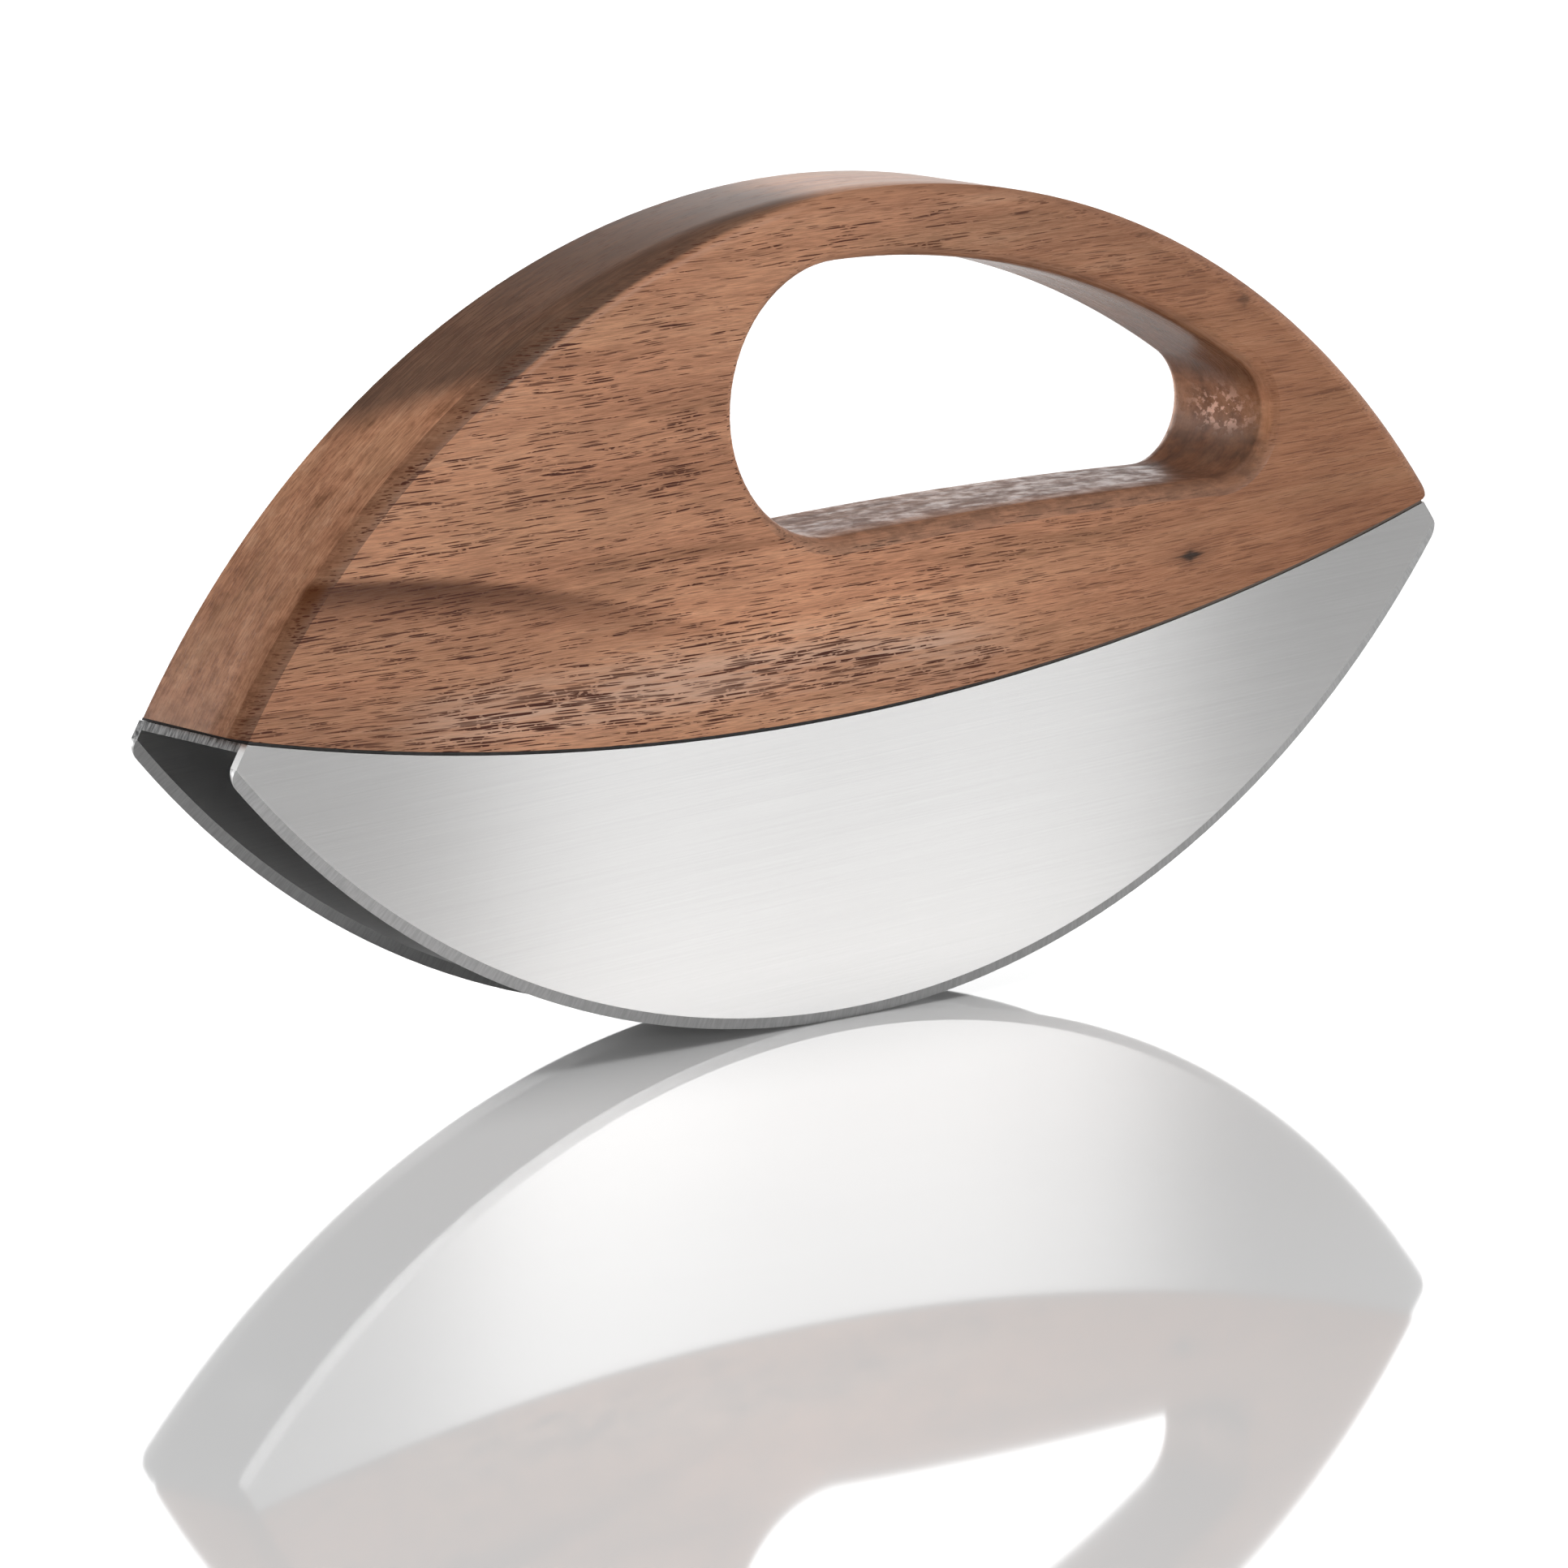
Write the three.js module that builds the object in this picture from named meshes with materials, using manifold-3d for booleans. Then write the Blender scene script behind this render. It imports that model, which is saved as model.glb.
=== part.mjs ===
// Double-bladed mezzaluna: two parallel rocking blades under an arched wooden handle with a hand hole.
// Millimetres, +Z up. X runs along the length, Y across the thickness, and the cutting edges rest on z = 0.
import * as THREE from 'three';
import { mergeVertices } from 'three/addons/utils/BufferGeometryUtils.js';
import Module from 'manifold-3d';

// Overall form: an arch above, a rocking edge below and a sagging joint line between wood and steel
const height = 94.9;
const thickness = 17.9;
const archRadius = 107.9;
const edgeRadius = 116.85;
const jointHeight = 35.2;
const jointRadius = 355;

// Eased edge of the handle's rim: a shallow round between a crease on the face and a crease on the rim
const rimRound = 4.75;
const rimFaceCrease = THREE.MathUtils.degToRad(22);
const rimEdgeCrease = THREE.MathUtils.degToRad(39);

// Rounding of the handle's lower corner at the narrow end of the hand hole; the other corner is sharp
const endRound = 1;

// Hand hole: a tall round end, a narrow round end, a crowned top and a slightly humped floor.
// The bars are the wood left between the hole's ends and the arch, the floors are heights above the joint.
const tallEndX = -2.33;
const tallEndBar = 7.65;
const tallEndFloor = 20.5;
const narrowEndRadius = 7.15;
const narrowEndBar = 8.2;
const narrowEndFloor = 18.5;
const holeTopRadius = 113.6;
const holeFloorRadius = 760;
const holeRound = 2.4;
const holeCrease = THREE.MathUtils.degToRad(16);

// Blades; the rear one reaches further at both ends than the front one
const bladeThickness = 1;
const bevelWidth = 1.3;
const edgeLand = 0.12;
const tipRadius = 2;
const rearReach = 1.2;

// Bridge plate between the blades, flush with their top edges
const bridgeThickness = 1;

// Black bedding layer between the steel and the wood
const sealThickness = 0.3;
const sealSetback = 0.15;

// Screws that hold the bridge plate to the wood
const screwCount = 4;
const screwEndMargin = 20;
const screwDiameter = 3.5;
const screwLength = 12;
const screwPoint = 3.5;
const headDiameter = 6.8;
const headHeight = 1.9;
const headEdge = 0.6;
const recessWidth = 0.9;
const recessLength = 3.8;
const recessDepth = 1.1;

// Clearances between neighbouring pieces
const seatGap = 0.05;
const shankGap = 0.2;
const pointGap = 0.6;

// Fineness of the round forms
const archSegments = 240;
const edgeSegments = 240;
const jointSegments = 480;
const roundSegments = 6;
const holeSegments = 16;
const tipSegments = 8;
const screwSegments = 24;

// Levels and radii that follow from the sizes above
const archCentre = height - archRadius;
const edgeCentre = edgeRadius * Math.cos(Math.PI / edgeSegments);
const jointCentre = jointHeight + jointRadius;
const rimEnd = Math.PI / 2 - rimEdgeCrease;
const faceRadius = archRadius - rimRound * (Math.sin(rimEnd) - Math.sin(rimFaceCrease));
const sealRadius = jointRadius - seatGap;
const woodRadius = sealRadius - sealThickness - seatGap;
const bridgeRadius = jointRadius + bridgeThickness;
const innerWidth = thickness - 2 * bladeThickness - 2 * seatGap;
const passing = 5;

const wasm = await Module();
wasm.setup();

// A closed three.js geometry as a solid that can be joined and cut
function solid(geometry) {
  geometry.deleteAttribute('normal');
  geometry.deleteAttribute('uv');
  const merged = mergeVertices(geometry, 1e-5);
  const index = merged.index.array;
  const kept = [];
  for (let i = 0; i < index.length; i += 3) {
    const [a, b, c] = index.subarray(i, i + 3);
    if (a !== b && b !== c && c !== a) {
      kept.push(a, b, c);
    }
  }
  const vertProperties = new Float32Array(merged.attributes.position.array);
  const triVerts = new Uint32Array(kept);
  return new wasm.Manifold(new wasm.Mesh({ numProp: 3, vertProperties, triVerts }));
}

// A solid as a flat-shaded three.js geometry
function geometryOf(body) {
  const mesh = body.getMesh();
  const geometry = new THREE.BufferGeometry();
  geometry.setAttribute('position', new THREE.BufferAttribute(new Float32Array(mesh.vertProperties), 3));
  geometry.setIndex(new THREE.BufferAttribute(new Uint32Array(mesh.triVerts), 1));
  const faceted = geometry.toNonIndexed();
  faceted.computeVertexNormals();
  return faceted;
}

// Turns a profile of [radius, y] points about an axis along Y that passes through height z
function turned(profile, segments, z, start = 0) {
  const points = profile.map(([r, y]) => new THREE.Vector2(r, y));
  return new THREE.LatheGeometry(points, segments, start).translate(0, 0, z);
}

// A plain disc standing on edge, its axis along Y through height z
function disc(radius, width, segments, z) {
  const half = width / 2;
  return turned([[0, -half], [radius, -half], [radius, half], [0, half]], segments, z);
}

// Extrudes an outline drawn in X and Z through the thickness, centred on y
function slab(outline, width, y) {
  const geometry = new THREE.ExtrudeGeometry(outline, {
    depth: width,
    bevelEnabled: false,
    curveSegments: tipSegments,
  });
  return geometry.rotateX(Math.PI / 2).translate(0, y + width / 2, 0);
}

// Where two circles centred on the Z axis cross, on the +X side
function crossing(z1, r1, z2, r2) {
  const z = (r1 * r1 - r2 * r2 + z2 * z2 - z1 * z1) / (2 * (z2 - z1));
  return new THREE.Vector2(Math.sqrt(r1 * r1 - (z - z1) ** 2), z);
}

// Centre of a circle of the given radius that touches two end circles, on the chosen side of them
function touching(a, ra, b, rb, side) {
  const along = b.clone().sub(a);
  const span = along.length();
  along.divideScalar(span);
  const reach = (ra * ra - rb * rb + span * span) / (2 * span);
  const rise = Math.sqrt(ra * ra - reach * reach) * side;
  return new THREE.Vector2(
    a.x + along.x * reach - along.y * rise,
    a.y + along.y * reach + along.x * rise,
  );
}

function angleFrom(centre, point) {
  return Math.atan2(point.y - centre.y, point.x - centre.x);
}

// Outline of the hand hole: four arcs that run smoothly into each other.
// The tall end fills the room between its floor and its bar, and the narrow end lies where its bar allows.
function holeOutline() {
  const tallFloor = jointHeight + tallEndFloor;
  const roof = archRadius - tallEndBar;
  const rise = tallFloor - archCentre;
  const tallEndRadius = (roof * roof - rise * rise - tallEndX * tallEndX) / (2 * (rise + roof));
  const tall = new THREE.Vector2(tallEndX, tallFloor + tallEndRadius);
  const narrowZ = jointHeight + narrowEndFloor + narrowEndRadius;
  const narrowReach = archRadius - narrowEndBar - narrowEndRadius;
  const narrow = new THREE.Vector2(Math.sqrt(narrowReach ** 2 - (narrowZ - archCentre) ** 2), narrowZ);
  const crown = touching(
    tall, holeTopRadius - tallEndRadius, narrow, holeTopRadius - narrowEndRadius, -1);
  const hump = touching(
    tall, holeFloorRadius + tallEndRadius, narrow, holeFloorRadius + narrowEndRadius, -1);
  const crownRight = angleFrom(crown, narrow);
  const crownLeft = angleFrom(crown, tall);
  const floorRight = angleFrom(narrow, hump);
  const floorLeft = angleFrom(tall, hump);
  const shape = new THREE.Shape();
  shape.absarc(narrow.x, narrow.y, narrowEndRadius, floorRight, crownRight, false);
  shape.absarc(crown.x, crown.y, holeTopRadius, crownRight, crownLeft, false);
  shape.absarc(tall.x, tall.y, tallEndRadius, crownLeft, floorLeft + 2 * Math.PI, false);
  shape.absarc(hump.x, hump.y, holeFloorRadius, floorLeft + Math.PI, floorRight + Math.PI, true);
  return shape;
}

// Cutter for the hand hole, flared at both faces so that it leaves a round-over with a crease
function holeCutter() {
  const past = holeRound * (1 - Math.cos(holeCrease));
  const straight = thickness + 2 * past - 2 * holeRound;
  const geometry = new THREE.ExtrudeGeometry(holeOutline(), {
    depth: straight,
    curveSegments: holeSegments,
    bevelEnabled: true,
    bevelThickness: holeRound,
    bevelSize: -holeRound,
    bevelOffset: holeRound,
    bevelSegments: roundSegments,
  });
  return solid(geometry.rotateX(Math.PI / 2).translate(0, straight / 2, 0));
}

// Profile of the handle blank as a turned disc: flat faces, round-overs and a plain rim between creases
function blankProfile() {
  const half = thickness / 2;
  const level = half - rimRound * Math.cos(rimFaceCrease);
  const reach = archRadius - rimRound * Math.sin(rimEnd);
  const side = [];
  for (let i = 0; i <= roundSegments; i += 1) {
    const turn = THREE.MathUtils.lerp(rimFaceCrease, rimEnd, i / roundSegments);
    side.push([reach + rimRound * Math.sin(turn), level + rimRound * Math.cos(turn)]);
  }
  const front = side.map(([r, y]) => [r, -y]);
  return [[0, -half], ...front, ...side.reverse(), [0, half]];
}

// Places a geometry that is built along +Y on a radial line of the joint arc, pointing into the wood
function onJoint(object, turn, radius) {
  object.rotateX(Math.PI / 2);
  object.rotateY(-turn);
  return object.translate(radius * Math.sin(turn), 0, jointCentre - radius * Math.cos(turn));
}

// Screws spaced evenly along the joint arc, the outer ones a margin in from its corners
const jointCorner = crossing(archCentre, faceRadius, jointCentre, jointRadius);
const outerTurn = Math.asin(jointCorner.x / jointRadius) - screwEndMargin / jointRadius;
const screwTurns = [];
for (let i = 0; i < screwCount; i += 1) {
  screwTurns.push(THREE.MathUtils.lerp(-outerTurn, outerTurn, i / (screwCount - 1)));
}

// Drill for one screw, from below the bridge plate to just past the screw's point
function drill(turn) {
  const depth = passing + screwLength + pointGap;
  const radius = screwDiameter / 2 + shankGap;
  const cylinder = new THREE.CylinderGeometry(radius, radius, depth, screwSegments);
  return solid(onJoint(cylinder.translate(0, depth / 2 - passing, 0), turn, bridgeRadius));
}

function drilled(body) {
  return screwTurns.reduce((rest, turn) => rest.subtract(drill(turn)), body);
}

// Outline under an arch and over a lower arc, with room to spare except at its two rounded corners
function roundedCorners(radius, arch, lowCentre, lowRadius) {
  const corner = crossing(archCentre, arch - radius, lowCentre, lowRadius - radius);
  const archTurn = Math.atan2(corner.y - archCentre, corner.x);
  const lowTurn = Math.atan2(corner.y - lowCentre, corner.x);
  const shape = new THREE.Shape();
  shape.absarc(0, archCentre, arch + passing, archTurn, Math.PI - archTurn, false);
  shape.absarc(-corner.x, corner.y, radius, Math.PI - archTurn, Math.PI - lowTurn, false);
  shape.absarc(0, lowCentre, lowRadius + passing, -Math.PI - lowTurn, lowTurn, false);
  shape.absarc(corner.x, corner.y, radius, lowTurn, archTurn, false);
  return shape;
}

// Wooden handle: a disc with a rounded rim, cut off along the joint, with the hand hole and pilot holes
function handle() {
  const width = thickness + 2 * passing;
  const blank = solid(turned(blankProfile(), archSegments, archCentre));
  const aboveJoint = solid(disc(woodRadius, width, jointSegments, jointCentre));
  const corners = solid(slab(roundedCorners(endRound, archRadius, jointCentre, woodRadius), width, 0));
  const nearHalf = new THREE.BoxGeometry(2 * archRadius, width, 2 * height);
  const outline = corners.add(solid(nearHalf.translate(-archRadius, 0, height)));
  return drilled(blank.intersect(aboveJoint).intersect(outline).subtract(holeCutter()));
}

// Trim for the ends of the steel and the bedding: the arch of the front face, wider towards the rear blade
function endTrim(setback) {
  const half = thickness / 2 + passing;
  const middle = faceRadius + rearReach / 2 - setback;
  const flare = rearReach * (half / thickness);
  const profile = [[0, -half], [middle - flare, -half], [middle + flare, half], [0, half]];
  return solid(turned(profile, archSegments, archCentre));
}

// One blade: a disc ground to a symmetrical bevel, trimmed at its ends and cut off along the joint
function blade(y) {
  const half = bladeThickness / 2;
  const ground = [
    [0, -half],
    [edgeRadius - bevelWidth, -half],
    [edgeRadius, -edgeLand / 2],
    [edgeRadius, edgeLand / 2],
    [edgeRadius - bevelWidth, half],
    [0, half],
  ];
  const width = bladeThickness + passing;
  const endRadius = faceRadius + rearReach * ((y + half + thickness / 2) / thickness);
  const wheel = turned(ground, edgeSegments, edgeCentre, Math.PI / edgeSegments).translate(0, y, 0);
  const tips = solid(slab(roundedCorners(tipRadius, endRadius, edgeCentre, edgeRadius), width, y));
  const aboveJoint = solid(disc(jointRadius, 2 * thickness, jointSegments, jointCentre));
  return solid(wheel).intersect(endTrim(0)).intersect(tips).subtract(aboveJoint);
}

// Curved strip that follows the joint arc between two radii, its ends set back from those of the steel
function jointStrip(outer, inner, setback, width) {
  const ring = solid(disc(outer, width, jointSegments, jointCentre));
  const room = solid(disc(inner, width + passing, jointSegments, jointCentre));
  return ring.subtract(room).intersect(endTrim(setback));
}

function bridgePlate() {
  return drilled(jointStrip(bridgeRadius, jointRadius, 0, innerWidth));
}

function seamSeal() {
  const width = thickness - 2 * sealSetback;
  return drilled(jointStrip(sealRadius, sealRadius - sealThickness, sealSetback, width));
}

// Pan-head wood screw along +Y, with its seat at y = 0 and a cross recess in the head
function screw() {
  const headRadius = headDiameter / 2;
  const shankRadius = screwDiameter / 2;
  const crown = headHeight - headEdge;
  const profile = [];
  for (let i = 0; i <= roundSegments; i += 1) {
    const turn = (Math.PI / 2) * (i / roundSegments);
    profile.push([headRadius * Math.sin(turn), -headEdge - crown * Math.cos(turn)]);
  }
  profile.push([headRadius, 0], [shankRadius, 0]);
  profile.push([shankRadius, screwLength - screwPoint], [0, screwLength]);
  const slot = new THREE.BoxGeometry(recessLength, 2 * recessDepth, recessWidth);
  slot.translate(0, -headHeight, 0);
  const cross = slot.clone().rotateY(Math.PI / 2);
  return solid(turned(profile, screwSegments, 0)).subtract(solid(slot)).subtract(solid(cross));
}

// Finishes: oiled walnut, brushed stainless steel, black bedding and bright screws
const walnut = new THREE.MeshStandardMaterial({ color: 0x8d624a, roughness: 0.55, metalness: 0 });
const steel = new THREE.MeshStandardMaterial({ color: 0xb8b6b4, roughness: 0.32, metalness: 1 });
const bedding = new THREE.MeshStandardMaterial({ color: 0x14110f, roughness: 0.7, metalness: 0 });
const fastener = new THREE.MeshStandardMaterial({ color: 0xa8a8a6, roughness: 0.3, metalness: 1 });

function piece(name, geometry, material) {
  const mesh = new THREE.Mesh(geometry, material);
  mesh.name = name;
  return mesh;
}

// The blade assembly and the handle bedded on it
const mezzaluna = new THREE.Group();
const bladeOffset = (thickness - bladeThickness) / 2;
mezzaluna.add(piece('handle', geometryOf(handle()), walnut));
mezzaluna.add(piece('seam_seal', geometryOf(seamSeal()), bedding));
mezzaluna.add(piece('bridge_plate', geometryOf(bridgePlate()), steel));
mezzaluna.add(piece('front_blade', geometryOf(blade(-bladeOffset)), steel));
mezzaluna.add(piece('rear_blade', geometryOf(blade(bladeOffset)), steel));
const screwGeometry = geometryOf(screw());
screwTurns.forEach((turn, i) => {
  const seated = onJoint(screwGeometry.clone(), turn, bridgeRadius + seatGap);
  mezzaluna.add(piece(`screw_${i + 1}`, seated, fastener));
});

export default mezzaluna;
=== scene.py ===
"""Looks of the double-bladed mezzaluna: materials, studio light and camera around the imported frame."""
import math
from collections import namedtuple

import bpy
from mathutils import Matrix, Vector


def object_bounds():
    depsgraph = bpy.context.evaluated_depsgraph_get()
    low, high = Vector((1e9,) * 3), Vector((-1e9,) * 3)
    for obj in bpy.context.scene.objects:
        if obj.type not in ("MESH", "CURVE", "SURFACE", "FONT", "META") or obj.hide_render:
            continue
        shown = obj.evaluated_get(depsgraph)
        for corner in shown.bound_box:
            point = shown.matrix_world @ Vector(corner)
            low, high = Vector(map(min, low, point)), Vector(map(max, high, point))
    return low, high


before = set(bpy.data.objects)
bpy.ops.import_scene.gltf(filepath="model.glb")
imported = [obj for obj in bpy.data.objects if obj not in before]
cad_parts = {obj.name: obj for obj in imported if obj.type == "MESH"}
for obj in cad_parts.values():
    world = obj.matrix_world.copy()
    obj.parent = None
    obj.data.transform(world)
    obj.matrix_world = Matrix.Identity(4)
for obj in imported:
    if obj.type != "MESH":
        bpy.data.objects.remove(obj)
cad_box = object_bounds()

# Sizes of the part that the looks follow, in millimetres
METRE = 1000.0
OUTER_FACE = cad_box[1].y * METRE
TOP = cad_box[1].z * METRE
RIM = 107.9
ARCH_DROP = RIM - TOP
EDGE_RADIUS = 116.85
BEVEL_WIDTH = 1.3
SHEET = 1.0

# How far the part rocks towards its near end at rest
REST_LEAN = math.radians(2.443)


def linear(red, green, blue):
    """A colour given in 0 to 255 display values, as linear light with alpha."""
    def one(v):
        v /= 255
        return v / 12.92 if v <= 0.04045 else ((v + 0.055) / 1.055) ** 2.4
    return (one(red), one(green), one(blue), 1.0)


# Colours of the walnut
WALNUT_LAYERS = [
    (0.22, linear(153, 106, 78)),
    (0.42, linear(188, 133, 102)),
    (0.58, linear(202, 146, 113)),
    (0.80, linear(217, 164, 131)),
]
WARM_WALNUT = linear(193, 145, 112)
HEARTWOOD = linear(82, 64, 54)
# A painted highlight along the crease of the rounded edge
CREASE_HIGHLIGHT = linear(205, 160, 136)
SMOKE = linear(92, 54, 32)
TAN_WOOD = linear(216, 179, 157)
PORE = linear(74, 30, 8)
FLECK = linear(226, 182, 162)
WORN_WOOD = linear(128, 108, 96)
KNOT_HALO = linear(92, 58, 44)
KNOT_CORE = linear(46, 36, 30)

# Knots in the front face: the place along the length and up, half the length and height, and how dark
Knot = namedtuple("Knot", "x z long tall dark")
KNOTS = [Knot(49.8, 45.6, 3.0, 1.0, 0.92), Knot(59.3, 74.7, 1.9, 1.3, 0.45)]
KNOT_DEPTH = 5.0

# Colours of the bedding, in linear light
BEDDING_DARK = (0.006, 0.005, 0.005, 1.0)
BEDDING_LIGHT = (0.018, 0.016, 0.015, 1.0)
BEDDING_DUST = (0.15, 0.115, 0.09, 1.0)


class Graph:
    """A shader node tree with short calls for the nodes used here."""

    def __init__(self, tree):
        self.tree = tree
        tree.nodes.clear()

    def node(self, kind, inputs=None, **settings):
        made = self.tree.nodes.new(kind)
        for key, value in settings.items():
            setattr(made, key, value)
        for socket, value in (inputs or {}).items():
            if isinstance(value, bpy.types.NodeSocket):
                self.tree.links.new(value, made.inputs[socket])
            else:
                made.inputs[socket].default_value = value
        return made

    def math(self, operation, a, b=0.0, c=0.0):
        return self.node("ShaderNodeMath", {0: a, 1: b, 2: c}, operation=operation).outputs[0]

    def product(self, first, *others):
        for other in others:
            first = self.math("MULTIPLY", first, other)
        return first

    def gain(self, value, share):
        """A factor that is one where the value is nothing, and a share more or less where it is one."""
        return self.math("MULTIPLY_ADD", value, share, 1.0)

    def blend(self, factor, a, b):
        """A number that goes from a to b as the factor goes from nothing to one."""
        return self.math("MULTIPLY_ADD", factor, self.math("SUBTRACT", b, a), a)

    def stretch(self, vector, scale):
        """The coordinates with each axis multiplied by its own number."""
        made = self.node("ShaderNodeVectorMath", {0: vector, 1: scale}, operation="MULTIPLY")
        return made.outputs[0]

    def length(self, vector):
        return self.node("ShaderNodeVectorMath", {0: vector}, operation="LENGTH").outputs[1]

    def split(self, vector):
        return self.node("ShaderNodeSeparateXYZ", {0: vector}).outputs

    def join(self, x, y, z):
        return self.node("ShaderNodeCombineXYZ", {0: x, 1: y, 2: z}).outputs[0]

    def grey(self, tone):
        return self.join(tone, tone, tone)

    def noise(self, vector, detail=2.0, roughness=0.5):
        inputs = {"Vector": vector, "Scale": 1.0, "Detail": detail, "Roughness": roughness}
        return self.node("ShaderNodeTexNoise", inputs).outputs["Fac"]

    def cells(self, vector):
        """Distance to the nearest of points scattered one to a unit cell."""
        return self.node("ShaderNodeTexVoronoi", {"Vector": vector, "Scale": 1.0}).outputs["Distance"]

    def remap(self, value, low, high, to_low=0.0, to_high=1.0):
        """Eases from one value to the other between two limits."""
        inputs = {0: value, 1: low, 2: high, 3: to_low, 4: to_high}
        return self.node("ShaderNodeMapRange", inputs, interpolation_type="SMOOTHSTEP").outputs[0]

    def mix(self, factor, a, b, blend="MIX"):
        made = self.node("ShaderNodeMix", {0: factor, 6: a, 7: b}, data_type="RGBA", blend_type=blend)
        return made.outputs[2]

    def ramp(self, value, stops):
        made = self.node("ShaderNodeValToRGB", {0: value})
        elements = made.color_ramp.elements
        while len(elements) < len(stops):
            elements.new(0.5)
        for element, (at, colour) in zip(elements, stops):
            element.position = at
            element.color = colour
        return made.outputs[0]

    def millimetres(self):
        """The object's own coordinates, in millimetres."""
        coordinates = self.node("ShaderNodeTexCoord").outputs["Object"]
        made = self.node("ShaderNodeVectorMath", {0: coordinates, "Scale": METRE}, operation="SCALE")
        return made.outputs[0]

    def normals(self):
        """The three parts of the surface's direction in the object's own frame."""
        return self.split(self.node("ShaderNodeTexCoord").outputs["Normal"])

    def bump(self, height, distance_mm, strength, under=None):
        """A normal raised by a height; under is the normal of a coarser relief below it."""
        inputs = {"Height": height, "Distance": distance_mm / METRE, "Strength": strength}
        if under is not None:
            inputs["Normal"] = under
        return self.node("ShaderNodeBump", inputs).outputs[0]

    def surface(self, **inputs):
        """The principled shader, joined to the output; names use _ for a space."""
        named = {key.replace("_", " "): value for key, value in inputs.items()}
        shader = self.node("ShaderNodeBsdfPrincipled", named)
        output = self.node("ShaderNodeOutputMaterial")
        self.tree.links.new(shader.outputs[0], output.inputs[0])


def material(name):
    made = bpy.data.materials.new(name)
    made.use_nodes = True
    return made, Graph(made.node_tree)


def bell(g, distance, width):
    """A soft bell of the given half width over a distance."""
    ratio = g.math("DIVIDE", distance, width)
    return g.math("EXPONENT", g.product(ratio, ratio, -1.0))


def between(g, value, low, high, soft):
    """One between two limits and nothing outside them, with soft shoulders."""
    rise = g.remap(value, low - soft, low + soft)
    return g.product(rise, g.remap(value, high - soft, high + soft, 1.0, 0.0))


# Walnut of the handle
def grain_flow(g, place):
    """Coordinates that follow the fibres: nearly straight along X, bowed a little with the joint low down."""
    x, y, z = g.split(place)
    low = g.remap(z, 38.0, 58.0, 1.0, 0.0)
    bow = g.product(low, -0.0006, g.product(x, x))
    drift = g.noise(g.stretch(place, (0.014, 0.03, 0.022)), detail=1.0)
    sway = g.noise(g.stretch(place, (0.05, 0.09, 0.09)), detail=1.0)
    lift = g.math("MULTIPLY_ADD", drift, 2.0, g.product(sway, 0.8))
    across = g.math("ADD", g.math("MULTIPLY_ADD", x, 0.03, z), bow)
    return g.join(x, y, g.math("ADD", across, lift))


class Wood:
    """What the parts of the walnut's look share: where a point lies, how it faces and how its fibres run."""

    def __init__(self, g):
        self.place = g.millimetres()
        self.x, self.y, self.z = g.split(self.place)
        self.depth = g.math("ADD", self.y, OUTER_FACE)
        self.from_centre = g.length(g.join(self.x, 0.0, g.math("ADD", self.z, ARCH_DROP)))
        self.normal = g.normals()
        self.facing = g.math("ABSOLUTE", self.normal[1])
        self.flat = g.remap(self.facing, 0.55, 0.9)
        self.right = g.remap(self.x, 15.0, 75.0)
        self.crest = g.product(g.remap(self.facing, 0.70, 0.95, 1.0, 0.0), g.remap(self.z, 84.0, 90.0))
        self.inside = g.remap(self.from_centre, RIM - 9.0, RIM - 7.0, 1.0, 0.0)
        self.hole_floor = g.product(self.inside, g.remap(self.normal[2], 0.15, 0.50))
        self.grain = grain_flow(g, self.place)
        self.streaks = g.noise(g.stretch(self.grain, (0.035, 0.40, 0.80)), detail=4.0, roughness=0.6)
        self.spots = g.noise(g.stretch(self.place, (0.35, 0.55, 0.8)), detail=5.0, roughness=0.65)
        self.face_fibres = g.noise(g.stretch(self.grain, (0.30, 0.8, 6.5)), detail=4.0, roughness=0.65)
        self.fibres = self.all_fibres(g)

    def all_fibres(self, g):
        """Lines along the length on the faces and along the arch on the rim, flecks on the end grain."""
        on_rim = g.noise(g.stretch(self.grain, (0.16, 3.4, 0.40)), detail=4.0, roughness=0.65)
        on_end = g.noise(g.stretch(self.place, (0.8, 0.9, 1.1)), detail=4.0, roughness=0.65)
        end = g.remap(g.math("ABSOLUTE", self.normal[0]), 0.70, 0.97)
        return g.blend(self.flat, g.blend(end, on_rim, on_end), self.face_fibres)


def wood_layers(g, wood):
    """Growth layers: broad soft streaks, thin across the thickness, with shorter ones between."""
    broad = g.noise(g.stretch(wood.grain, (0.010, 0.34, 0.10)), detail=3.0, roughness=0.55)
    layers = g.math("MULTIPLY_ADD", g.math("SUBTRACT", wood.streaks, 0.5), 0.9, broad)
    warmth = g.noise(g.stretch(wood.grain, (0.025, 0.2, 0.16)), detail=2.0)
    return g.mix(g.remap(warmth, 0.42, 0.72, 0.0, 0.45), g.ramp(layers, WALNUT_LAYERS), WARM_WALNUT)


def fibre_shade(g, wood):
    """Light and dark along the fine fibres, softer to the right, under a faint figure."""
    softer = g.remap(wood.x, 10.0, 65.0, 1.0, 0.5)
    fine = g.product(g.math("SUBTRACT", wood.fibres, 0.5), softer)
    figure = g.noise(g.stretch(wood.place, (0.13, 0.20, 0.20)), detail=3.0)
    return g.product(g.remap(fine, -0.18, 0.18, 0.80, 1.17), g.remap(figure, 0.25, 0.75, 0.94, 1.06))


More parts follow.
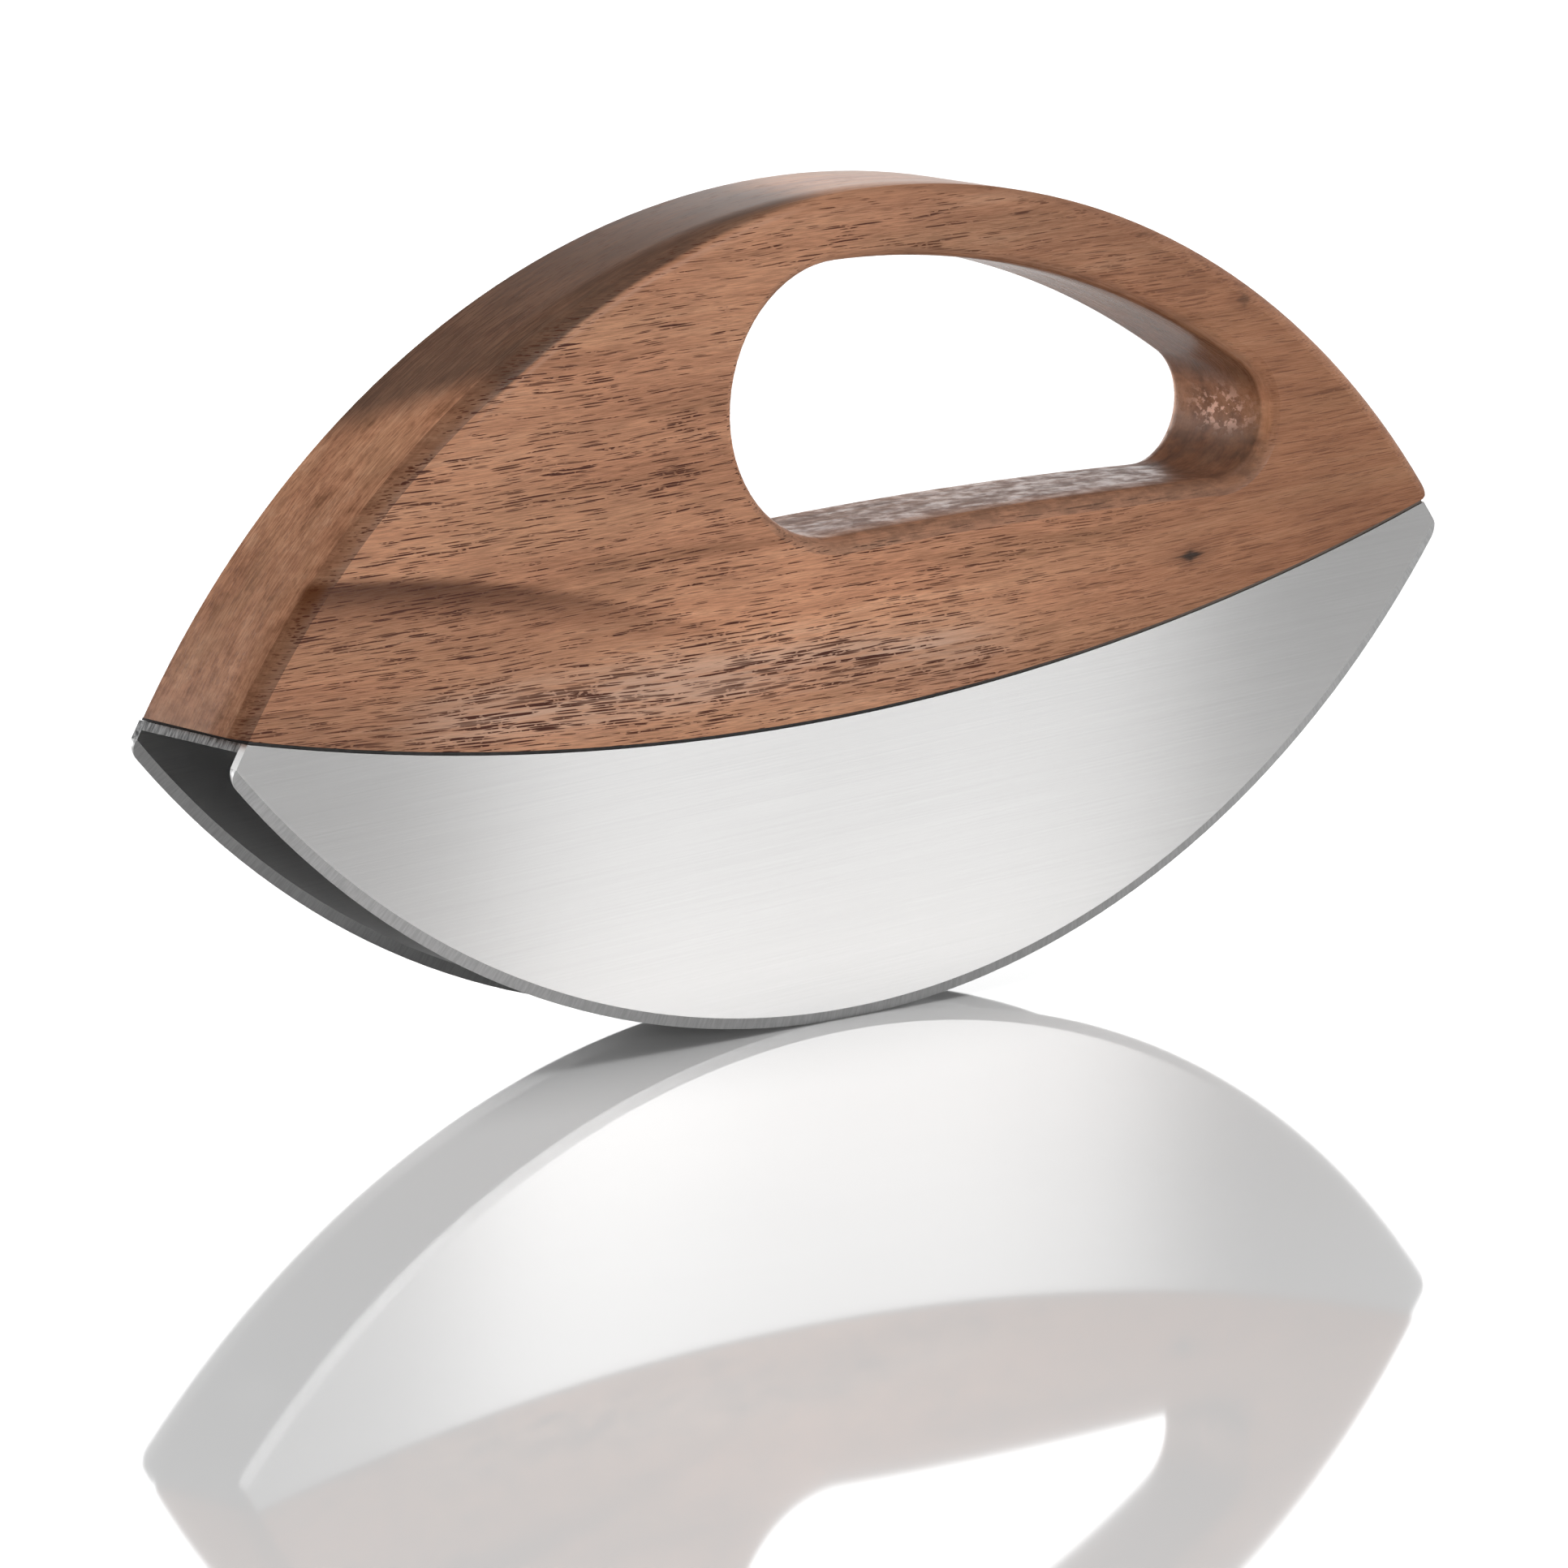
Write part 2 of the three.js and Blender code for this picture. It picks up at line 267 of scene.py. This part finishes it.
def drift_shade(g, wood):
    """Slow drift of tone: paler low in the middle, darker low on the left, to the right and at its top."""
    x, z = wood.x, wood.z
    low_middle = g.product(bell(g, g.math("SUBTRACT", z, 47.0), 10.0), bell(g, g.math("ADD", x, 8.0), 32.0))
    top_right = g.product(g.remap(x, -12.0, 25.0), g.remap(z, 74.0, 84.0))
    low_left = g.product(g.remap(x, -72.0, -48.0, 1.0, 0.0), g.remap(z, 43.0, 52.0, 1.0, 0.0))
    left_side = g.product(g.gain(low_middle, 0.20), g.gain(low_left, -0.33))
    return g.product(left_side, g.gain(wood.right, -0.31), g.gain(top_right, -0.22))


def rim_shade(g, wood):
    """Painted shade: the rounded edge and the rim of the arch are painted darker on the left, and the top is
    painted darker.
    """
    on_edge = between(g, wood.facing, 0.30, 0.96, 0.05)
    on_bend = g.product(on_edge, g.remap(wood.from_centre, RIM - 2.6, RIM - 2.2))
    # Painted shade on the rounded edge at the left and on the rim at the near end
    painted_edge_shade = g.product(on_bend, g.remap(wood.x, -56.0, -45.0, 0.51, 0.0))
    on_rim = g.remap(wood.facing, 0.20, 0.40, 1.0, 0.0)
    painted_rim_shade = g.product(on_rim, g.remap(wood.normal[0], -0.78, -0.30, 0.41, 0.0))
    left = g.math("SUBTRACT", 1.0, g.math("ADD", painted_edge_shade, painted_rim_shade))
    return g.product(left, g.gain(wood.crest, -0.22))


def add_shade(g, wood, colour):
    """Multiplies the shades in; the right side is also warmer."""
    shade = g.product(fibre_shade(g, wood), drift_shade(g, wood), rim_shade(g, wood))
    green = g.product(shade, g.gain(wood.right, -0.07))
    blue = g.product(shade, g.gain(wood.right, -0.14))
    return g.mix(1.0, colour, g.join(shade, green, blue), "MULTIPLY")


def add_heartwood(g, wood, colour):
    """Dark heartwood along the upper left of the arch, with a slanting end; a thin pale line before it is a
    painted highlight along the crease.
    """
    slant = g.math("MULTIPLY_ADD", wood.depth, 0.6, wood.x)
    trail = g.math("MULTIPLY_ADD", g.math("MINIMUM", wood.depth, 4.5), -8.0, wood.x)
    along = g.product(g.remap(slant, -57.0, -49.5), g.remap(trail, -36.0, 6.0, 1.0, 0.0))
    edge = g.math("MULTIPLY_ADD", wood.x, -0.045, wood.from_centre)
    behind_edge = g.remap(edge, RIM - 0.1, RIM + 0.4)
    heart = g.product(along, behind_edge, g.remap(wood.fibres, 0.2, 0.8, 0.95, 0.76))
    colour = g.mix(heart, colour, HEARTWOOD)
    # Painted highlight: a thin pale line along the crease in front of the heartwood
    painted_highlight = bell(g, g.math("SUBTRACT", edge, RIM - 0.45), 0.25)
    return g.mix(g.product(painted_highlight, between(g, wood.x, -55.0, -8.0, 5.0), 0.40), colour, CREASE_HIGHLIGHT)


def add_smoke(g, wood, colour):
    """A smoky band that falls across the left of the front face, sharp above and fading below."""
    run = g.math("ADD", wood.x, 78.0)
    fall = g.math("MULTIPLY_ADD", run, 0.07, g.product(run, run, 0.0032))
    below = g.math("SUBTRACT", g.math("SUBTRACT", 61.8, fall), wood.z)
    tail = g.product(g.remap(below, 0.4, 5.0, 1.0, 0.22), g.remap(below, 6.0, 15.0, 1.0, 0.0))
    band = g.product(g.remap(below, -1.2, 0.4), tail)
    fading = g.remap(wood.x, -66.0, -8.0, 0.95, 0.0)
    in_front = g.remap(wood.depth, 1.0, 2.4, 1.0, 0.0)
    return g.mix(g.product(band, fading, in_front), colour, SMOKE)


def tan_strip(g, wood):
    """Where a low strip of tan wood runs on the left."""
    middle = g.math("MULTIPLY_ADD", wood.x, -0.055, 41.2)
    height = bell(g, g.math("SUBTRACT", wood.z, middle), 3.2)
    return g.product(height, between(g, wood.x, -62.0, 18.0, 9.0))


def dashes(g, grain, scale, reach, soft):
    """Short lines along the fibres, one to a cell of the scaled grain, as long and wide as the reach."""
    past = g.math("SUBTRACT", g.cells(g.stretch(grain, scale)), reach)
    return g.remap(past, -soft, soft, 1.0, 0.0)


def wood_pores(g, wood, strip):
    """Thin dark dashes, gathered in places and in the strip, broken by small gaps and softer to the right."""
    gather = g.noise(g.stretch(wood.grain, (0.03, 0.12, 0.14)), detail=2.0)
    crowd = g.math("MULTIPLY_ADD", strip, 0.15, g.remap(gather, 0.30, 0.70, 0.17, 0.30))
    reach = g.math("ADD", crowd, g.remap(wood.x, -80.0, -40.0, 0.06, 0.0))
    gaps = g.remap(g.noise(g.stretch(wood.grain, (1.1, 0.6, 2.5)), detail=1.0), 0.32, 0.42, 0.25, 1.0)
    long_dashes = dashes(g, wood.grain, (0.11, 1.5, 3.1), reach, 0.035)
    short_dashes = dashes(g, wood.grain, (0.20, 2.0, 4.4), reach, 0.045)
    on_face = g.product(g.math("MAXIMUM", long_dashes, short_dashes), gaps)
    on_rim = g.product(dashes(g, wood.grain, (0.40, 2.6, 0.9), g.product(reach, 1.1), 0.06), 0.3)
    fill = g.noise(g.stretch(wood.grain, (0.06, 0.4, 1.3)), detail=2.0)
    filled = g.product(g.blend(wood.flat, on_rim, on_face), g.remap(fill, 0.32, 0.54, 0.65, 1.0))
    return g.product(filled, g.remap(wood.x, 0.0, 60.0, 1.0, 0.50))


def add_torn_grain(g, wood, colour):
    """Torn end grain at the narrow end of the hand hole shows as pale flecks."""
    wall = g.product(g.remap(wood.normal[0], -0.80, -0.95), g.remap(wood.x, 58.0, 61.0))
    across = bell(g, g.math("ADD", wood.y, 0.5), 4.5)
    upright = bell(g, g.math("SUBTRACT", wood.z, 59.5), 3.2)
    flecks = g.product(wall, across, upright, g.remap(wood.spots, 0.50, 0.58), 0.85)
    return g.mix(flecks, colour, FLECK)


def add_hole_wear_and_shade(g, wood, colour):
    """The floor of the hand hole is worn and patchy, partly painted shade in the hollow; its far wall is
    painted lighter as painted light and its ceiling painted darker as painted shade.
    """
    # Painted light on the far wall and painted shade under the ceiling
    far_wall = g.product(wood.inside, g.remap(wood.normal[0], -0.50, -0.90))
    ceiling = g.product(wood.inside, g.remap(wood.normal[2], -0.20, -0.60))
    # Darker patches on the floor: partly wear, partly painted shade in the hollow
    patchy = g.math("SUBTRACT", g.remap(wood.spots, 0.36, 0.64, 1.0, 0.62), 1.0)
    worn_and_shaded = g.math("MULTIPLY_ADD", wood.hole_floor, patchy, 1.0)
    shade = g.product(worn_and_shaded, g.gain(far_wall, 0.50), g.gain(ceiling, -0.42))
    colour = g.mix(1.0, colour, g.grey(shade), "MULTIPLY")
    return g.mix(g.product(wood.hole_floor, 0.25), colour, WORN_WOOD)


def add_knots(g, wood, colour):
    """A small dark knot in the front face and a fainter one above it, each with a brown halo."""
    for knot in KNOTS:
        off_x = g.math("DIVIDE", g.math("ABSOLUTE", g.math("SUBTRACT", wood.x, knot.x)), knot.long)
        off_z = g.math("DIVIDE", g.math("ABSOLUTE", g.math("SUBTRACT", wood.z, knot.z)), knot.tall)
        off_y = g.math("DIVIDE", wood.depth, KNOT_DEPTH)
        spread = g.math("ADD", g.math("ADD", off_x, off_z), off_y)
        ragged = g.math("MULTIPLY_ADD", g.math("SUBTRACT", wood.face_fibres, 0.5), 0.9, spread)
        colour = g.mix(g.remap(ragged, 0.8, 2.4, 0.35 * knot.dark, 0.0), colour, KNOT_HALO)
        colour = g.mix(g.remap(ragged, 0.3, 1.0, knot.dark, 0.0), colour, KNOT_CORE)
    return colour


def sanded_normal(g, wood, pores):
    """Fine relief over a rim and hole walls that are sanded a little lower towards the front."""
    sanded_width, sanded_fall = 5.2, -0.029
    rise = g.math("MAXIMUM", g.math("SUBTRACT", sanded_width, wood.depth), 0.0)
    crown = g.bump(g.product(rise, rise, sanded_fall), 1.0, 1.0)
    relief = g.math("SUBTRACT", g.product(wood.fibres, 0.35), pores)
    return g.bump(relief, 0.04, 0.3, crown)


def make_walnut():
    made, g = material("oiled_walnut")
    wood = Wood(g)
    colour = add_shade(g, wood, wood_layers(g, wood))
    colour = add_heartwood(g, wood, colour)
    colour = add_smoke(g, wood, colour)
    strip = tan_strip(g, wood)
    tan = g.product(strip, g.remap(wood.streaks, 0.35, 0.65, 0.15, 0.8))
    colour = g.mix(tan, colour, TAN_WOOD)
    pores = wood_pores(g, wood, strip)
    colour = g.mix(pores, colour, PORE)
    colour = add_torn_grain(g, wood, colour)
    colour = add_hole_wear_and_shade(g, wood, colour)
    colour = add_knots(g, wood, colour)

    # The floor of the hole and the top of the arch are duller than the rest
    polish = g.remap(g.math("MULTIPLY_ADD", pores, 0.5, wood.fibres), 0.2, 1.1, 0.23, 0.40)
    patches = g.remap(wood.spots, 0.36, 0.64, 0.03, 0.26)
    roughness = g.math("MULTIPLY_ADD", wood.hole_floor, patches, polish)
    roughness = g.math("MULTIPLY_ADD", wood.crest, 0.10, roughness)
    g.surface(Base_Color=colour, Roughness=roughness, IOR=1.46, Specular_IOR_Level=0.19,
              Normal=sanded_normal(g, wood, pores))
    return made


# Steel of the blades
def ground_edge(g, x, y, z):
    """Where the ground bevel lies, and its tone: scratched across, with its inner side painted darker as
    painted shade between the blades.
    """
    radius = g.length(g.join(x, 0.0, g.math("SUBTRACT", z, EDGE_RADIUS)))
    turn = g.math("ARCTAN2", x, g.math("SUBTRACT", EDGE_RADIUS, z))
    along = g.product(turn, EDGE_RADIUS)
    scratches = g.noise(g.join(g.product(along, 4.0), g.product(radius, 0.4), y), detail=3.0)
    middle = OUTER_FACE - SHEET / 2
    # Painted shade: the inner side of the bevel is darker
    side = g.remap(g.math("ABSOLUTE", y), middle - 0.05, middle, 0.6, 1.0)
    limit = EDGE_RADIUS - BEVEL_WIDTH
    where = g.remap(radius, limit - 0.04, limit + 0.04)
    return where, g.product(g.remap(scratches, 0.3, 0.7, 0.43, 0.52), side)


def make_steel():
    made, g = material("brushed_steel")
    place = g.millimetres()
    x, y, z = g.split(place)

    # Brushing along the length; the lower part, towards the edge, is painted brighter as painted light
    lines = g.noise(g.stretch(place, (0.05, 0.5, 16.0)), detail=3.0, roughness=0.65)
    clouds = g.noise(g.stretch(place, (0.02, 0.05, 0.6)), detail=2.0)
    streaky = g.remap(lines, 0.25, 0.75, -0.03, 0.03)
    tone = g.math("ADD", streaky, g.remap(clouds, 0.3, 0.7, -0.004, 0.004))
    painted_brightness = g.math("ADD", tone, g.remap(z, 0.0, 42.0, 0.745, 0.60))
    outside = g.join(painted_brightness, g.product(painted_brightness, 0.992), g.product(painted_brightness, 0.985))

    # Inner faces are painted darker as painted shade between the blades, and are duller
    inner_face = OUTER_FACE - SHEET
    inward = g.remap(g.math("ABSOLUTE", y), inner_face + 0.02, inner_face + 0.06, 1.0, 0.0)
    colour = g.mix(inward, outside, g.grey(g.remap(lines, 0.25, 0.75, 0.52, 0.60)))
    edge, ground = ground_edge(g, x, y, z)
    colour = g.mix(edge, colour, g.grey(ground))

    # The cut ends aren't brushed, and those of the rear blade are dark and mottled
    cut = g.remap(g.math("ABSOLUTE", g.normals()[1]), 0.5, 0.8, 1.0, 0.0)
    rear_cut = g.product(cut, g.math("SUBTRACT", 1.0, edge), g.remap(y, 0.0, 1.0))
    sheared = g.noise(g.stretch(place, (2.0, 2.0, 1.2)), detail=3.0)
    colour = g.mix(rear_cut, colour, g.grey(g.remap(sheared, 0.35, 0.65, 0.06, 0.30)))

    dull = g.math("MAXIMUM", g.math("MAXIMUM", inward, edge), cut)
    brushed = g.math("SUBTRACT", 1.0, dull)
    roughness = g.math("MULTIPLY_ADD", dull, 0.22, g.remap(lines, 0.25, 0.75, 0.085, 0.105))
    tangent = g.node("ShaderNodeTangent", direction_type="RADIAL", axis="Z").outputs[0]
    relief = g.product(lines, brushed)
    g.surface(Base_Color=colour, Metallic=1.0, Roughness=roughness, Anisotropic=brushed,
              Anisotropic_Rotation=0.25, Tangent=tangent, Normal=g.bump(relief, 0.004, 0.08))
    return made


def make_plate_steel():
    made, g = material("plate_steel")
    striations = g.noise(g.stretch(g.millimetres(), (0.8, 3.2, 0.5)), detail=3.0)
    colour = g.grey(g.remap(striations, 0.3, 0.7, 0.07, 0.26))
    roughness = g.remap(striations, 0.3, 0.7, 0.34, 0.48)
    g.surface(Base_Color=colour, Metallic=1.0, Roughness=roughness, Normal=g.bump(striations, 0.02, 0.3))
    return made


def make_bedding():
    """Black bedding that gathers pale dust towards the far end."""
    made, g = material("black_bedding")
    place = g.millimetres()
    mottle = g.noise(g.stretch(place, (1.5, 1.5, 1.5)), detail=3.0)
    dust = g.remap(g.split(place)[0], 0.0, 65.0, 0.0, 0.95)
    colour = g.mix(dust, g.mix(mottle, BEDDING_DARK, BEDDING_LIGHT), BEDDING_DUST)
    roughness = g.remap(mottle, 0.3, 0.7, 0.55, 0.75)
    g.surface(Base_Color=colour, Roughness=roughness, Normal=g.bump(mottle, 0.03, 0.3))
    return made


def make_fastener():
    made, g = material("bright_screw")
    mottle = g.noise(g.stretch(g.millimetres(), (2.0, 2.0, 2.0)), detail=3.0)
    tone = g.remap(mottle, 0.3, 0.7, 0.54, 0.66)
    colour = g.join(tone, tone, g.product(tone, 0.98))
    roughness = g.remap(mottle, 0.3, 0.7, 0.22, 0.36)
    g.surface(Base_Color=colour, Metallic=1.0, Roughness=roughness, Normal=g.bump(mottle, 0.02, 0.15))
    return made


def dress(node, finish, crease_degrees):
    """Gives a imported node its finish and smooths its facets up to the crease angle; large flats stay flat."""
    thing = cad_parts[node]
    thing.data.materials.clear()
    thing.data.materials.append(finish)
    thing.data.polygons.foreach_set("use_smooth", [True] * len(thing.data.polygons))
    weld = thing.modifiers.new("weld", "WELD")
    weld.merge_threshold = 1e-6
    crease = thing.modifiers.new("crease", "EDGE_SPLIT")
    crease.split_angle = math.radians(crease_degrees)
    crease.use_edge_sharp = False
    flats = thing.modifiers.new("flats", "WEIGHTED_NORMAL")
    flats.mode = "FACE_AREA"
    flats.weight = 50
    flats.keep_sharp = True


SCREWS = 4
steel = make_steel()
fastener = make_fastener()
dress("handle", make_walnut(), 20)
dress("seam_seal", make_bedding(), 30)
dress("bridge_plate", make_plate_steel(), 30)
dress("front_blade", steel, 10)
dress("rear_blade", steel, 10)
for number in range(1, SCREWS + 1):
    dress(f"screw_{number}", fastener, 25)


# The hole makes the far end lighter, so at rest the part rocks towards the near end. The part keeps its
# frame, and the floor and the camera are turned about the centre of the cutting edges instead.
def rocked():
    return Matrix.Translation((0.0, 0.0, EDGE_RADIUS / METRE)) @ Matrix.Rotation(REST_LEAN, 4, "Y")


# Polished white floor, a hair below the cutting edges, in metres
FLOOR_HALF = 4.0
FLOOR_GAP = 0.00002


def make_floor():
    made, g = material("polished_floor")
    haze = g.noise(g.stretch(g.millimetres(), (0.01, 0.01, 0.01)), detail=2.0)
    g.surface(Base_Color=g.grey(g.remap(haze, 0.3, 0.7, 0.805, 0.815)), Roughness=0.04, IOR=1.5)
    level = -EDGE_RADIUS / METRE - FLOOR_GAP
    corners = [(x * FLOOR_HALF, y * FLOOR_HALF, level) for x, y in ((-1, -1), (1, -1), (1, 1), (-1, 1))]
    mesh = bpy.data.meshes.new("floor")
    mesh.from_pydata(corners, [], [(0, 1, 2, 3)])
    mesh.materials.append(made)
    floor = bpy.data.objects.new("floor", mesh)
    floor.matrix_world = rocked()
    bpy.context.scene.collection.objects.link(floor)
    return floor


make_floor()


# Soft studio light: white panels around the part, with the azimuth from the front towards +X, the half
# width, the soft edge and the two heights in degrees
Panel = namedtuple("Panel", "azimuth half_width soft low high power")
PANEL_TOP_SOFT = 2.0
PANELS = [
    # Right side, low and high
    Panel(78.0, 24.0, 6.0, 0.0, 25.0, 0.8),
    Panel(78.0, 24.0, 6.0, 25.0, 55.0, 0.66),
    # Narrow panels that the front blade mirrors by way of the floor, from its near end to its far end
    Panel(37.7, 0.8, 0.3, 0.0, 30.0, 0.6),
    Panel(39.3, 0.8, 0.3, 0.0, 30.0, 2.5),
    Panel(40.9, 0.8, 0.3, 0.0, 30.0, 2.12),
    Panel(42.4, 0.75, 0.2, 0.0, 30.0, 2.05),
    Panel(48.0, 4.0, 1.0, 0.0, 30.0, 0.46),
    # Key and fill from the front, low so that the left of the rim doesn't mirror them
    Panel(26.0, 9.0, 1.5, 0.0, 15.0, 9.0),
    Panel(10.0, 22.0, 4.0, 0.0, 15.0, 1.54),
    # Back right, which whitens the floor and gives the top of the arch its sheen
    Panel(140.0, 38.0, 10.0, 0.0, 10.0, 1.9),
    Panel(140.0, 38.0, 10.0, 10.0, 18.0, 3.05),
    # Back left and left side
    Panel(-160.0, 22.0, 8.0, 0.0, 25.0, 3.75),
    Panel(-147.0, 8.0, 2.0, 20.0, 36.0, 0.7),
    Panel(-95.0, 35.0, 6.0, 0.0, 40.0, 1.4),
    # Overhead, a dim ring round a bright cap
    Panel(0.0, 200.0, 1.0, 60.0, 75.0, 0.27),
    Panel(0.0, 200.0, 1.0, 75.0, 92.0, 7.2),
]


def panel_light(g, panel, azimuth, height):
    """The two factors of a panel's light in a direction: its power across the width, and its height."""
    turn = g.math("SUBTRACT", azimuth, math.radians(panel.azimuth))
    away = g.math("ABSOLUTE", g.math("WRAP", turn, math.pi, -math.pi))
    inner = math.radians(panel.half_width - panel.soft)
    outer = math.radians(panel.half_width + panel.soft)
    across = g.remap(away, inner, outer, panel.power, 0.0)
    low, high, soft = (math.radians(angle) for angle in (panel.low, panel.high, PANEL_TOP_SOFT))
    return across, between(g, height, low, high, soft)


def make_studio():
    world = bpy.data.worlds.new("studio")
    world.use_nodes = True
    bpy.context.scene.world = world
    g = Graph(world.node_tree)
    x, y, z = g.split(g.node("ShaderNodeTexCoord").outputs["Generated"])
    azimuth = g.math("ARCTAN2", x, g.product(y, -1.0))
    height = g.math("ARCSINE", z)
    light = 0.0
    for panel in PANELS:
        across, upright = panel_light(g, panel, azimuth, height)
        light = g.math("MULTIPLY_ADD", across, upright, light)
    background = g.node("ShaderNodeBackground", {"Color": (1.0, 1.0, 1.0, 1.0), "Strength": light})
    output = g.node("ShaderNodeOutputWorld")
    g.tree.links.new(background.outputs[0], output.inputs[0])


make_studio()


# Camera at the photograph's angle: widths in pixels, turns in degrees, and the place in metres over the floor
PHOTO_WIDTH = 1932
FOCAL_WIDTH = 10814.4
SENSOR_WIDTH = 36.0
CAMERA_YAW = 40.222
CAMERA_PITCH = -11.296
CAMERA_ROLL = 0.016
CAMERA_PLACE = (-0.63699, -0.75092, 0.22269)
NEAREST_SEEN = 0.05
FARTHEST_SEEN = 50.0


def camera_turn():
    yaw, pitch, roll = (math.radians(angle) for angle in (CAMERA_YAW, CAMERA_PITCH, CAMERA_ROLL))
    ahead = Vector((math.sin(yaw) * math.cos(pitch), math.cos(yaw) * math.cos(pitch), math.sin(pitch)))
    level = Vector((math.cos(yaw), -math.sin(yaw), 0.0))
    down = ahead.cross(level)
    right = level * math.cos(roll) + down * math.sin(roll)
    below = down * math.cos(roll) - level * math.sin(roll)
    return Matrix((right, -below, -ahead)).transposed().to_4x4()


def make_camera():
    data = bpy.data.cameras.new("camera")
    data.sensor_fit = "HORIZONTAL"
    data.sensor_width = SENSOR_WIDTH
    data.lens = FOCAL_WIDTH / PHOTO_WIDTH * SENSOR_WIDTH
    data.clip_start = NEAREST_SEEN
    data.clip_end = FARTHEST_SEEN
    camera = bpy.data.objects.new("camera", data)
    bpy.context.scene.collection.objects.link(camera)
    bpy.context.scene.camera = camera
    x, y, above_floor = CAMERA_PLACE
    place = Matrix.Translation((x, y, above_floor - EDGE_RADIUS / METRE))
    camera.matrix_world = rocked() @ place @ camera_turn()


make_camera()
bpy.context.scene.view_settings.view_transform = "Standard"
